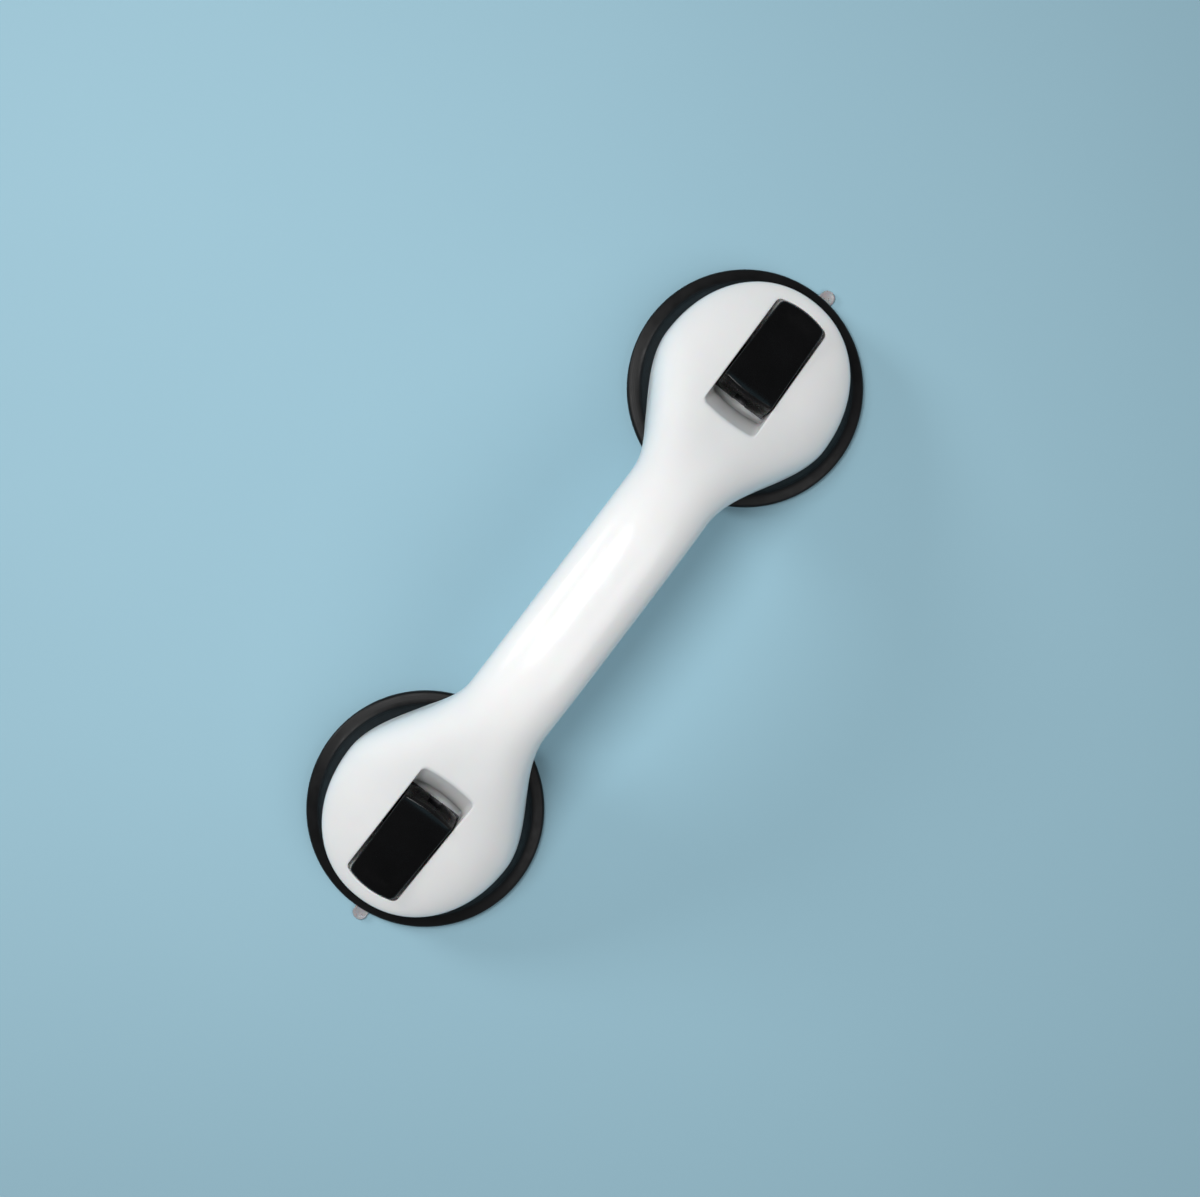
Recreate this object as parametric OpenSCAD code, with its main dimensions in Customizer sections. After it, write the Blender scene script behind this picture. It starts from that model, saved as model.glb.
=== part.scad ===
// Suction grab bar: a two-shell plastic handle on two lever-operated suction cups.
// The wall that it sticks to is the plane z = 0, and the bar runs along X.
// Both levers are drawn locked, with the pads' middles lifted and the vacuum made.

/* [Suction cups] */
// Distance between the two cups' axes
cup_spacing = 209; // [200:1:240]
// Outer diameter of the black dish
dish_d = 94; // [92:1:98]
// Diameter of the soft pad under the dish
pad_d = 92; // [90:1:92]
// Thickness of the pad at its rim
pad_t = 2.4; // [2:0.1:3]
// How far a lever lifts the middle of its pad
stroke = 3.6; // [3:0.1:4]
// Angle of the pull tab from the bar's axis
tab_angle = 5; // [0:1:15]
// Width of the pull tab
tab_w = 6; // [5:0.5:9]
// How far the pull tab stands out past the dish
tab_out = 5; // [4:0.5:8]

/* [Handle] */
// Width of the bar where the hand holds it
bar_w = 34; // [32:0.5:36]
// Height of the bar's top above the wall
bar_top = 75; // [73:0.5:78]
// Height of the bar's underside above the wall
bar_under = 46; // [44:0.5:47]
// Width of a paddle at its widest
paddle_w = 76; // [75:0.5:78]
// Wall thickness of the two shells
wall = 2.6; // [2.2:0.1:3]

/* [Levers] */
// Width of a lever at its hub
lever_w = 22; // [21:0.5:22.5]
// Angle that a lever turns through to let go
lever_open = 100; // [90:1:100]
// Height of the pin above the cam plate when locked
cam_h = 13.5; // [13:0.1:13.6]
// How far a lever's top stands above the paddle
lever_proud = 0.8; // [0.5:0.1:1.2]
// Depth of the hollow for the thumb in a lever's top
thumb_dip = 1; // [0:0.1:1.2]

/* [Hidden] */
$fn = 64;

white = [0.93, 0.93, 0.92];
black = [0.05, 0.05, 0.05];
steel = [0.72, 0.73, 0.75];
dark_steel = [0.2, 0.2, 0.21];
nylon = [0.85, 0.83, 0.76];
clear = [0.78, 0.77, 0.74, 0.6];

cup_x = cup_spacing / 2;
wide_x = cup_x - 3.5;     // where a paddle is widest
flare_x = cup_x - 56.5;   // where the bar starts to widen
nose = 44;                // from a paddle's widest point to its outer end
end_x = wide_x + nose;
skirt_z = 14;             // lower edge of the paddles' skirts
edge_z = 18;              // level at which a paddle is widest
plate_z = 15;             // underside of the bottom shell's round plates
plate_t = 2.5;
floor_z = plate_z + plate_t;
outline_power = 2.1;      // a paddle's outer end is a superellipse of this power
gap = 0.25;               // between parts that lie beside each other

// Lines of the handle along X: [x, z, slope], joined by cubic curves
bar_mid = (bar_top + bar_under) / 2;
top_line = [[0, bar_top, 0], [cup_x - 52.5, bar_top - 5.5, -0.33],
    [cup_x, 40, -0.5], [end_x, 23, -0.4]];
under_line = [[0, bar_under, 0], [flare_x - 6, bar_under - 4, -0.28], [cup_x - 36.5, skirt_z, -1.8]];
edge_line = [[0, bar_mid, 0], [flare_x, bar_mid - 5, -0.35], [wide_x - 13, edge_z, 0]];
hollow_over = 2.5;         // the paddles are hollow with straight sides up to this far over edge_z
part_end_x = cup_x - 34.5; // where the seam between the shells reaches the skirt
seam_x = flare_x + 2;      // where that seam leaves the bar's widest level

// Lever, with the pin's axis at its origin and the arm along +X
seat_z = floor_z + 3.1;    // upper face of the cam plate
cam_plate_t = 1.15;
pin_z = seat_z + cam_h;
pin_r = 2;
pin_l = lever_w - 1;
stud_r = 4.5;
stud_hole_r = stud_r + 1.1;
tang_w = 5;                // width of the stud's flat upper end
tang_z = seat_z - 0.5;     // level at which the stud turns from round to flat
slot_w = tang_w + 0.4;     // the slot in the hub that the flat end stands in
arm_end = 33.8;            // tip of the arm, from the pin
hub_end = 10.3;            // inner end of the hub, from the pin
arm_t = 7;                 // thickness of the arm at the hub
tip_t = 5.5;
lift_rate = stroke / (lever_open * PI / 180);  // mm of lift for a radian of turn
end_arc_r = 30;            // the hub's end and the arm's tip are arcs seen from above
hub_round = 1.5;           // round between the hub's end and its top
taper = 0.7;               // each side of the arm draws in this much from hub to tip
tip_undercut = 1.8;        // the tip's end face slopes in by this much towards the underside

// Pocket for the lever in the top shell
pocket_w = lever_w + 2.1;
hub_clearance = 0.5;       // between the hub's corner and the inner wall that it swings past
pocket_in = -(norm(hub_corner()) + hub_round + hub_clearance);  // that wall, from the pin
pocket_end = -20.5;        // where the wall, leaning out from the pin's level, meets the surface
pocket_out = arm_end + 0.8;
pocket_cove = 4.8;         // round between the inner wall and the floor
pocket_drop = 1.2;         // the plastic floor lies this far under the cam plate's face
cam_plate_out = 10.9;      // outer edge of the cam plate, from the pin
pocket_wall = 2;

// Suction cup
pad_r = pad_d / 2;
dish_r = dish_d / 2;
seal_r = 38;               // inside this radius the pad lifts off the wall
core_r = 16;
core_z = stroke + 1.6;     // underside of the stiff disc inside the pad
core_t = 1.8;
core_hub_r = 7.5;
core_top = core_z + 4.2;
guide_r = 8.5;             // outside of the tube that guides the stud
dish_t = 2.6;

// Screws
screw_r = 1.5;
head_r = 2.8;
head_h = 1.8;
boss_r = 3.8;
boss_hole_r = screw_r + 0.15;
cup_screw_ring = 27;       // distance of the four cup screws from the cup's axis
cup_screw_angles = [60, 120, 240, 300];
cup_screw_top = 27;
bar_screw_x = 30;
bar_head_z = 53;           // where the bar screws' heads bear
bar_screw_top = 67;
counterbore_r = 3.5;
cap_h = 4;
cap_proud = 0.5;

function hermite(a, b, x) =
    let (d = b[0] - a[0], t = (x - a[0]) / d)
    a[1] * (1 + 2 * t) * (1 - t) ^ 2 + a[2] * d * t * (1 - t) ^ 2
    + b[1] * t ^ 2 * (3 - 2 * t) + b[2] * d * t ^ 2 * (t - 1);

// Height of a line at x; past its last knot it stays level
function line(knots, x, i = 0) =
    x >= knots[len(knots) - 1][0] ? knots[len(knots) - 1][1]
    : x <= knots[i + 1][0] ? hermite(knots[i], knots[i + 1], x)
    : line(knots, x, i + 1);

function smooth(t) = t <= 0 ? 0 : t >= 1 ? 1 : t ^ 2 * (3 - 2 * t);
function mix(a, b, t) = a + (b - a) * t;
function sgn_pow(v, p) = sign(v) * abs(v) ^ p;

// Half of the handle's width at x, seen from above
function half_width(x) =
    x <= wide_x ? mix(bar_w, paddle_w, smooth((x - flare_x) / (wide_x - flare_x))) / 2
    : paddle_w / 2 * max(0, 1 - ((x - wide_x) / nose) ^ outline_power) ^ (1 / outline_power);

// 0 on the handle's crest and 1 on its outline
function edge_share(x, y) =
    x <= wide_x ? abs(y) / half_width(x)
    : (((x - wide_x) / nose) ^ outline_power
        + (2 * abs(y) / paddle_w) ^ outline_power) ^ (1 / outline_power);

function crown_power(x) = mix(2.3, 3, smooth((x - flare_x) / 40));
function belly_power(x) = mix(2.3, 8, smooth((x - flare_x) / 24));

function seam_height(x) =
    x <= seam_x ? line(edge_line, x)
    : line([[seam_x, line(edge_line, seam_x), -0.5], [part_end_x, skirt_z - 0.1, -1.5]], x);

// One closed section of the handle across Y, drawn in by inset
function section(x, inset, n_up, n_down) =
    let (ax = abs(x), w = half_width(ax), e = line(edge_line, ax),
        up = line(top_line, ax) - e - inset, down = e - line(under_line, ax) - inset,
        m = crown_power(ax), b = belly_power(ax), k = max(0.2, w - inset) / w)
    concat(
        [for (j = [0:n_up - 1]) let (a = 180 * j / n_up,
            y = w * sgn_pow(cos(a), 2 / m), share = min(1, edge_share(ax, y)))
            [x, k * y, e + up * max(0, 1 - share ^ m) ^ (1 / m)]],
        [for (j = [0:n_down - 1]) let (a = 180 + 180 * j / n_down)
            [x, k * w * sgn_pow(cos(a), 2 / b), e - down * abs(sin(a)) ^ (2 / b)]]);

// Stations along half of the handle, close together where it turns
function stations(reach) = concat(
    [for (i = [0:5]) flare_x * i / 6],
    [for (i = [0:10]) mix(flare_x, wide_x, i / 11)],
    [for (i = [0:10]) wide_x + reach * sin(88.5 * i / 10)]);

module loft(inset, n_up, n_down) {
    half = stations(nose - inset);
    xs = concat([for (i = [len(half) - 1:-1:1]) -half[i]], half);
    n = n_up + n_down;
    m = len(xs);
    polyhedron(
        points = [for (x = xs) each section(x, inset, n_up, n_down)],
        faces = concat(
            [[for (j = [0:n - 1]) j]],
            [for (i = [0:m - 2], j = [0:n - 1])
                [i * n + j, (i + 1) * n + j, (i + 1) * n + (j + 1) % n, i * n + (j + 1) % n]],
            [[for (j = [n - 1:-1:0]) (m - 1) * n + j]]));
}

module handle_outside() { loft(0, 26, 14); }
module handle_inside() { loft(wall, 16, 8); }

// Both cups are the same, mirrored about the middle of the bar
module at_cup(side) {
    mirror([side == "left" ? 1 : 0, 0, 0]) translate([cup_x, 0, 0]) children();
}

// Extrudes a profile drawn in (x, z) along Y, about y = 0
module across(width) {
    rotate([90, 0, 0]) linear_extrude(width, center = true) children();
}

// Outline of one paddle seen from above, from x_from to its outer end, around the cup's axis
module paddle_outline(x_from, inset) {
    steps = 12;
    shrink = (nose - inset) / nose;
    near = [for (i = [0:steps]) mix(x_from, wide_x, i / steps)];
    far = [for (i = [1:steps]) wide_x + nose * sin(90 * i / steps)];
    edge = concat(
        [for (x = near) [x - cup_x, half_width(x) - inset]],
        [for (x = far) [wide_x + (x - wide_x) * shrink - cup_x, max(0, half_width(x) - inset)]]);
    polygon(concat(edge, [for (i = [len(edge) - 2:-1:0]) [edge[i][0], -edge[i][1]]]));
}

module round_cup_screws() {
    for (a = cup_screw_angles) rotate(a) translate([cup_screw_ring, 0, 0]) children();
}

module at_cup_screws(side) {
    at_cup(side) round_cup_screws() children();
}

module at_bar_screws() {
    for (x = [-bar_screw_x, bar_screw_x]) translate([x, 0, 0]) children();
}

// Everything under the seam between the two shells
module under_seam() {
    xs = [for (i = [0:24]) part_end_x * i / 24];
    reach = end_x + 10;
    across(paddle_w + 20) polygon(concat(
        [[-reach, 0], [reach, 0], [reach, skirt_z - 0.1]],
        [for (i = [24:-1:0]) [xs[i], seam_height(xs[i])]],
        [for (i = [1:24]) [-xs[i], seam_height(xs[i])]],
        [[-reach, skirt_z - 0.1]]));
}

function top_at(u) = line(top_line, cup_x + u) - pin_z;
function under_arm(u) = top_at(u) - mix(arm_t, tip_t, u / arm_end) + lever_proud;

// The lever's pocket, in (x, z) about the pin
module pocket_profile() {
    floor = seat_z - pocket_drop - pin_z;
    roof = bar_top - pin_z;
    polygon(concat(
        [for (i = [6:-1:1]) let (t = i / 6)
            [mix(pocket_in, pocket_end, t ^ 1.2), mix(0, top_at(pocket_end), t)]],
        arc([pocket_in + pocket_cove, floor + pocket_cove], pocket_cove, 180, 270, 8),
        [[pocket_out, floor], [pocket_out, roof], [pocket_end, roof]]));
}

module rounded_bar_2d(x0, x1, w, r) {
    hull() for (x = [x0 + r, x1 - r], y = [-1, 1]) translate([x, y * (w / 2 - r)]) circle(r, $fn = 24);
}

module pocket(side) {
    at_cup(side) intersection() {
        translate([0, 0, pin_z]) across(pocket_w) pocket_profile();
        linear_extrude(bar_top) rounded_bar_2d(pocket_end, pocket_out, pocket_w, 2.5);
    }
}

module pocket_block(side) {
    at_cup(side) translate([0, 0, floor_z]) linear_extrude(bar_top)
        rounded_bar_2d(pocket_end - pocket_wall, pocket_out + pocket_wall,
            pocket_w + 2 * pocket_wall, 4);
}

// A screw boss with a rib that ties it to the middle of the paddle
module cup_boss() {
    hull() {
        translate([0, 0, floor_z]) cylinder(h = 30, r = boss_r, $fn = 32);
        translate([-boss_r - 3, 0, floor_z + 6]) cylinder(h = 24, r = 1, $fn = 16);
    }
}

module top_shell() {
    color(white) difference() {
        union() {
            difference() {
                handle_outside();
                handle_inside();
                under_seam();
                for (side = ["left", "right"]) at_cup(side) translate([0, 0, skirt_z - 1])
                    linear_extrude(edge_z - skirt_z + hollow_over) paddle_outline(cup_x - 38, wall - 0.2);
            }
            intersection() {
                loft(wall / 2, 16, 8);
                union() {
                    for (side = ["left", "right"]) {
                        pocket_block(side);
                        at_cup_screws(side) cup_boss();
                    }
                    at_bar_screws() translate([0, 0, bar_mid + 1])
                        cylinder(h = bar_top, r = boss_r, $fn = 32);
                }
            }
        }
        for (side = ["left", "right"]) {
            pocket(side);
            at_cup(side) cylinder(h = pin_z, r = stud_hole_r, $fn = 32);
            at_cup_screws(side) cylinder(h = cup_screw_top + 0.5, r = boss_hole_r, $fn = 24);
        }
        at_bar_screws() cylinder(h = bar_screw_top + 0.5, r = boss_hole_r, $fn = 24);
    }
}

// A stiffening rib inside the bottom shell, across the bar
module cross_rib(x) {
    z = line(under_line, abs(x));
    hull() for (y = [-1, 1]) translate([x, y * bar_w / 2, z]) cylinder(h = wall + 5, r = 0.9, $fn = 16);
}

module bottom_shell() {
    color(white) difference() {
        union() {
            difference() {
                intersection() {
                    handle_outside();
                    under_seam();
                }
                handle_inside();
            }
            for (side = ["left", "right"]) at_cup(side) translate([0, 0, plate_z])
                linear_extrude(plate_t) paddle_outline(cup_x - 37, wall + gap);
            intersection() {
                loft(wall / 2, 16, 8);
                union() {
                    for (x = [-47, -39, -20, -10, 10, 20, 39, 47]) cross_rib(x);
                    at_bar_screws() cylinder(h = bar_mid - 1.5, r = boss_r + 1.4, $fn = 32);
                }
            }
        }
        for (side = ["left", "right"]) {
            at_cup(side) cylinder(h = 30, r = guide_r + gap);
            at_cup_screws(side) cylinder(h = 30, r = screw_r + 0.3, $fn = 24);
        }
        at_bar_screws() {
            cylinder(h = bar_mid + 5, r = screw_r + 0.3, $fn = 24);
            cylinder(h = bar_head_z, r = counterbore_r, $fn = 32);
        }
    }
}

module screw(head_z, top) {
    translate([0, 0, head_z - head_h]) cylinder(h = head_h, r = head_r);
    translate([0, 0, head_z]) cylinder(h = top - head_z, r = screw_r);
}

module bar_screws() {
    color(steel) at_bar_screws() screw(bar_head_z, bar_screw_top);
}

// Caps that close the bar screws' counterbores and stand a little out of the bar's underside
module bar_screw_caps() {
    color(white) at_bar_screws() translate([0, 0, line(under_line, bar_screw_x) - cap_proud])
        cylinder(h = cap_h, r = counterbore_r - 0.15);
}

module cup_screws(side) {
    color(steel) at_cup_screws(side) screw(plate_z - dish_t, cup_screw_top);
}

// The cam is the involute of a circle, so a lever lifts its stud by the same amount for every degree
function cam_point(a) =
    let (h = cam_h - lift_rate * a * PI / 180)
    [-h * sin(a) + lift_rate * cos(a), -h * cos(a) - lift_rate * sin(a)];

function arc(c, r, a0, a1, n) = [for (i = [0:n]) let (a = mix(a0, a1, i / n)) c + r * [cos(a), sin(a)]];

// Height of a lever's top, with the hollow for the thumb
function lever_top(u) =
    top_at(u) + lever_proud - thumb_dip * smooth((u - 10) / 9) * smooth((arm_end - 2 - u) / 5);

// Middle of the round between the flat that the lever stands open on and its top
function hub_corner() =
    let (n = [cos(270 - lever_open), sin(270 - lever_open)], up = [n[1], -n[0]],
        slope = top_at(-6) - top_at(-7), top_n = [-slope, 1] / sqrt(1 + slope ^ 2),
        base = (cam_h - stroke - hub_round) * n)
    base + up * (top_n * ([-7, lever_top(-7)] - base) - hub_round) / (top_n * up);

// Lever in (x, z) about the pin: cam, the flat that it stands open on, top, tip and underside
module lever_profile() {
    tip_r = 1.6;
    tip_top = lever_top(arm_end);
    polygon(concat(
        [for (i = [0:20]) cam_point(lever_open * i / 20)],
        arc(hub_corner(), hub_round, 270 - lever_open, 64, 8),
        [for (u = [-2:3:arm_end - 2]) [u, lever_top(u)]],
        arc([arm_end - tip_r, tip_top - tip_r], tip_r, 60, 0, 4),
        [[arm_end - tip_undercut, tip_top - tip_t], [12, under_arm(12)], [9.5, under_arm(12) - 1.5],
            [5.5, -cam_h + 1.2], [lift_rate + 1.2, -cam_h + 0.05]]));
}

// Right half-end of an outline: a corner of radius r, then an arc that reaches x_end
function half_end(x_end, half_w, r) =
    let (c = x_end - end_arc_r, h = half_w - r, u = sqrt((end_arc_r - r) ^ 2 - h ^ 2), a = atan2(h, u))
    concat(arc([c + u, h], r, 90, a, 4), arc([c, 0], end_arc_r, a, 0, 5));

// Lever seen from above: tapered sides between two arcs
module lever_outline() {
    tip = half_end(arm_end, lever_w / 2 - taper, 2.5);
    hub = [for (p = half_end(hub_end, lever_w / 2, 0.6)) [-p[0], p[1]]];
    upper = concat([for (i = [len(hub) - 1:-1:0]) hub[i]], tip);
    polygon(concat(upper, [for (i = [len(upper) - 2:-1:1]) [upper[i][0], -upper[i][1]]]));
}

// The hub's end is an arc seen from above, and leans with the flat that the lever stands open on
module hub_face() {
    rotate([0, lever_open - 90, 0]) translate([end_arc_r - cam_h + stroke, 0, -30]) linear_extrude(60) {
        circle(end_arc_r);
        translate([0, -end_arc_r]) square(2 * end_arc_r);
    }
}

// Room for the stud's flat end while the lever turns round it
module stud_slot() {
    lean = lever_open - 90;
    r = stud_r + 0.35;
    across(slot_w) {
        circle(r);
        polygon([[r, 0], [r, -cam_h - 2], [-14, -cam_h - 2],
            [-14, r / cos(lean) + 14 * tan(lean)], [0, r / cos(lean)]]);
    }
}

// Two hollows in the arm's underside, with a rib between them
module arm_hollows() {
    skin = 2;
    rib = 1.6;
    hollow_w = lever_w / 2 - taper - skin - rib / 2;
    for (s = [-1, 1]) translate([0, s * (rib + hollow_w) / 2, 0]) across(hollow_w)
        polygon(concat([[arm_end - 3, -20], [13.5, -20]],
            [for (u = [13.5:3.4:arm_end - 3]) [u, lever_top(u) - skin]]));
}

module lever(side) {
    color(black) at_cup(side) translate([0, 0, pin_z]) difference() {
        intersection() {
            across(lever_w) lever_profile();
            translate([0, 0, -30]) linear_extrude(60) lever_outline();
            hub_face();
        }
        stud_slot();
        arm_hollows();
        rotate([90, 0, 0]) cylinder(h = lever_w + 2, r = pin_r, center = true);
    }
}

module lever_pin(side) {
    color(steel) at_cup(side) translate([0, 0, pin_z]) rotate([90, 0, 0])
        cylinder(h = pin_l, r = pin_r, center = true);
}

// Steel plate that the cam bears on
module cam_plate(side) {
    w = pocket_w - 2 * gap;
    inner = pocket_in + pocket_cove + 0.2;
    color(dark_steel) at_cup(side) difference() {
        translate([inner, -w / 2, seat_z - pocket_drop]) cube([cam_plate_out - inner, w, cam_plate_t]);
        cylinder(h = seat_z + 1, r = stud_hole_r);
    }
}

// Stud that pulls the pad: a round rod screwed into the pad's core, with a flat end and an eye for the pin
module stud(side) {
    foot_r = 3;
    color(steel) at_cup(side) difference() {
        union() {
            translate([0, 0, core_z]) cylinder(h = core_top - core_z, r = foot_r);
            translate([0, 0, core_top]) cylinder(h = tang_z - core_top, r = stud_r);
            intersection() {
                translate([0, 0, tang_z - 0.01]) cylinder(h = bar_top, r = stud_r);
                translate([0, 0, pin_z]) across(tang_w) {
                    circle(stud_r);
                    translate([-stud_r, -cam_h - 2]) square([2 * stud_r, cam_h + 2]);
                }
            }
        }
        translate([0, 0, pin_z]) rotate([90, 0, 0]) cylinder(h = 4 * stud_r, r = pin_r + 0.05, center = true);
    }
}

// Stiff disc inside the pad, with the boss that the stud screws into
module pad_core(side) {
    color(nylon) at_cup(side) difference() {
        union() {
            translate([0, 0, core_z]) cylinder(h = core_t, r = core_r);
            translate([0, 0, core_z]) cylinder(h = core_top - core_z, r = core_hub_r);
        }
        cylinder(h = core_top + 1, r = 3);
    }
}

// Soft pad: its rim lies on the wall, and its middle is drawn up around the core
module pad(side) {
    swell = [for (i = [0:10]) let (t = i / 10) [t, smooth(t)]];
    top_mid = core_z + core_t + 1.2;
    land = [[seal_r, 0], [40.2, 0], [40.6, 0.4], [41.2, 0.4], [41.6, 0], [43, 0], [43.4, 0.4], [44, 0.4],
        [44.4, 0], [pad_r - 0.5, 0], [pad_r, 0.5], [pad_r, pad_t]];
    color(clear) at_cup(side) union() {
        rotate_extrude() difference() {
            polygon(concat(
                [[0, stroke]],
                [for (s = swell) [mix(core_r + 2, seal_r, s[0]), stroke * (1 - s[1])]],
                [for (i = [1:len(land) - 1]) land[i]],
                [for (s = swell) [mix(seal_r - 1.5, core_r + 3, s[0]), mix(pad_t, top_mid, s[1])]],
                [[core_hub_r + 0.05, top_mid], [core_hub_r + 0.05, core_z + core_t + 0.02],
                    [0, core_z + core_t + 0.02]]));
            translate([0, core_z - 0.02]) square([core_r + 0.05, core_t + 0.04]);
        }
        rotate(-tab_angle) pull_tab();
    }
}

// Pull tab at the pad's rim, with a round end
module pull_tab() {
    out = dish_r + tab_out - tab_w / 2;
    translate([0, 0, 0.5]) {
        translate([pad_r - 2, -tab_w / 2, 0]) cube([out - pad_r + 2, tab_w, 1.4]);
        translate([out, 0, 0]) cylinder(h = 1.4, r = tab_w / 2);
    }
}

// Rigid dish: a flange that presses on the pad's rim, a dome, and a tube that guides the stud
module dish(side) {
    top = plate_z;
    under = top - dish_t;
    rim = pad_t;
    color(black) at_cup(side) difference() {
        rotate_extrude() polygon(concat(
            [[dish_r - 0.4, rim], [dish_r, rim + 0.4], [dish_r, rim + 1]],
            arc([dish_r - 1.4, rim + 1], 1.4, 20, 75, 4),
            [[dish_r - 4.2, rim + 3.2]],
            arc([dish_r - 3.4, rim + 5.6], 2.4, 255, 212, 4),
            [[dish_r - 8.6, rim + 8.8]],
            arc([dish_r - 14.8, rim + 5.8], 6.7, 40, 84, 5),
            [[dish_r - 18, top], [guide_r, top], [guide_r, floor_z - 0.05], [stud_r + 0.08, floor_z - 0.05],
                [stud_r + 0.08, core_top + 0.8], [guide_r, core_top + 0.8], [guide_r, under],
                [dish_r - 17.5, under], [dish_r - 12.8, under - 1.4], [dish_r - 10.2, rim + 4],
                [seal_r - 0.5, rim]]));
        round_cup_screws() cylinder(h = top + 1, r = screw_r + 0.2);
    }
}

top_shell();
bottom_shell();
bar_screws();
bar_screw_caps();
for (side = ["left", "right"]) {
    lever(side);
    lever_pin(side);
    cam_plate(side);
    stud(side);
    pad_core(side);
    pad(side);
    dish(side);
    cup_screws(side);
}
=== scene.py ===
"""Suction grab bar: a white two-shell handle, two black levers, two suction cups.

Lengths are in millimetres until a mesh is made. +X runs along the bar, +Z away from the wall.
"""
import math

import bmesh
import bpy
from mathutils import Matrix, Vector


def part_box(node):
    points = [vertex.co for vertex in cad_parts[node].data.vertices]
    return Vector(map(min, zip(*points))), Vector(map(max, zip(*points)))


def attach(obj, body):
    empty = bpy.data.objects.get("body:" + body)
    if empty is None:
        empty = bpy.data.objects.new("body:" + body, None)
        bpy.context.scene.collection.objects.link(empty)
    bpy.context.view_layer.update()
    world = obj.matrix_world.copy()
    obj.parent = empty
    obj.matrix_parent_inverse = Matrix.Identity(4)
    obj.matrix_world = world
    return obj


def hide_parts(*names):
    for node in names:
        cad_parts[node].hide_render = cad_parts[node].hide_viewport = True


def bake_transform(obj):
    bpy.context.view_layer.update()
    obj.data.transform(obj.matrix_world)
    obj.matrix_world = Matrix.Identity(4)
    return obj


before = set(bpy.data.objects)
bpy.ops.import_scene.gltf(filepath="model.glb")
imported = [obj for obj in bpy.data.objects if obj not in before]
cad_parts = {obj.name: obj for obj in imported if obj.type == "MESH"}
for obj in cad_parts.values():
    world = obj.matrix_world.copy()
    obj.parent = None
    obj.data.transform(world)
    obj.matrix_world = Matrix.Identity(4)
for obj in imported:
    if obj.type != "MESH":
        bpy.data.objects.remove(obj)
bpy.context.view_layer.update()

MM = 0.001
SIDES = {"left": -1, "right": 1}


# ---------------------------------------------------------------- sizes, from the frame

def node_box(node):
    low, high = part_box(node)
    return low / MM, high / MM


shell_high = node_box("top_shell")[1]
dish_low, dish_high = node_box("right_dish")
pad_low = node_box("right_pad")[0]
plate_low = node_box("right_cam_plate")[0]
pin_low, pin_high = node_box("right_lever_pin")
lever_low, lever_high = node_box("right_lever")
core_low, core_high = node_box("right_pad_core")

CUP_X = (dish_low.x + dish_high.x) / 2
DISH_R = (dish_high.x - dish_low.x) / 2
PAD_R = CUP_X - pad_low.x
PIN_Z = (pin_low.z + pin_high.z) / 2
LEVER_W = lever_high.y - lever_low.y
BAR_TOP = shell_high.z
PADDLE_W = 2 * shell_high.y
END_X = shell_high.x

# The handle's outside, as it is in the CAD model
SKIRT_Z = 14
BAR_W = 34
BAR_UNDER = 46
WIDE_X = CUP_X - 3.5
FLARE_X = CUP_X - 56.5
NOSE = 44
EDGE_Z = 18
PLATE_Z = 15
PLATE_T = 2.5
OUTLINE_POWER = 2.1
BAR_MID = (BAR_TOP + BAR_UNDER) / 2
TOP_LINE = [(0, BAR_TOP, 0), (CUP_X - 52.5, BAR_TOP - 5.5, -0.33), (CUP_X, 40, -0.5), (END_X, 23, -0.4)]
UNDER_LINE = [(0, BAR_UNDER, 0), (FLARE_X - 6, BAR_UNDER - 4, -0.28), (CUP_X - 36.5, SKIRT_Z, -1.8)]
EDGE_LINE = [(0, BAR_MID, 0), (FLARE_X, BAR_MID - 5, -0.35), (WIDE_X - 13, EDGE_Z, 0)]
PART_END_X = CUP_X - 34.5
SEAM_X = FLARE_X + 2

# The pocket that a lever lies in, measured from its pin. It is narrower than the CAD model's.
POCKET_W = LEVER_W + 1.3
POCKET_CORNER = 2.5
POCKET_BOW = 1.2
POCKET_COVE = 4.8
POCKET_IN = plate_low.x - CUP_X - POCKET_COVE - 0.2
POCKET_END = -20.5
POCKET_OUT = 34.6
FLOOR_Z = plate_low.z
HUB_FLOOR_OUT = 11.5
STUD_HOLE_R = 5.6
GUIDE_HOLE_R = 8.75

# A cup: its flange, the tube that guides its stud, and its pad
DISH_T = 2.6
GUIDE_R = 8.5
GUIDE_BORE = 4.6
GUIDE_TOP = PLATE_Z + 2.4
GUIDE_LOW = 10.2
PAD_T = 2.4
SEAL_R = 38
PAD_OVER_CORE = 1.2
PAD_UNDER_CORE = 1.6

# A pad's pull tab
TAB_W = 6
TAB_OUT = 5
TAB_ANGLE = 5

# A lever, measured from its pin
ARM_END = 33.8
HUB_END = 10.05
HUB_LEAN = math.tan(math.radians(10))
CAM_H = 13.5
STROKE = 3.6
LEVER_OPEN = 100
LIFT_RATE = STROKE / math.radians(LEVER_OPEN)
ARM_T = 7
TIP_T = 5.5
TAPER = 0.7
TIP_UNDERCUT = 1.8
END_ARC_R = 30
LEVER_PROUD = 0.8
THUMB_DIP = 1
PIN_R = 2
STUD_EYE_R = 4.85
SLOT_W = 5.4
SLOT_REACH = 14
SLOT_LOW = -16
RIB_T = 1.6
SKIN_T = 2
HOLLOW_IN = 13.5
HOLLOW_OUT = 30.8
HOLLOW_LOW = -20

# Rounds that moulding leaves, and the shells' lower edges
LIP_W = 2.4
LIP_H = 2.5
RIM_ROUND = 0.5
SCOOP_ROUND = 1.8
SCOOP_TURN = 64
EDGE_ROLL = 0.55
SEAM_GAP = 0.24
SEAM_DROP = 1.0

# How finely surfaces are divided
END_STEPS = 12
CORNER_STEPS = 6
SIDE_STEPS = (10, 14, 24)
RINGS = 54
BAR_STEPS = 36
ROUND_STEPS = 144


# ---------------------------------------------------------------- curves

def mix(a, b, t):
    return a + (b - a) * t


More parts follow.
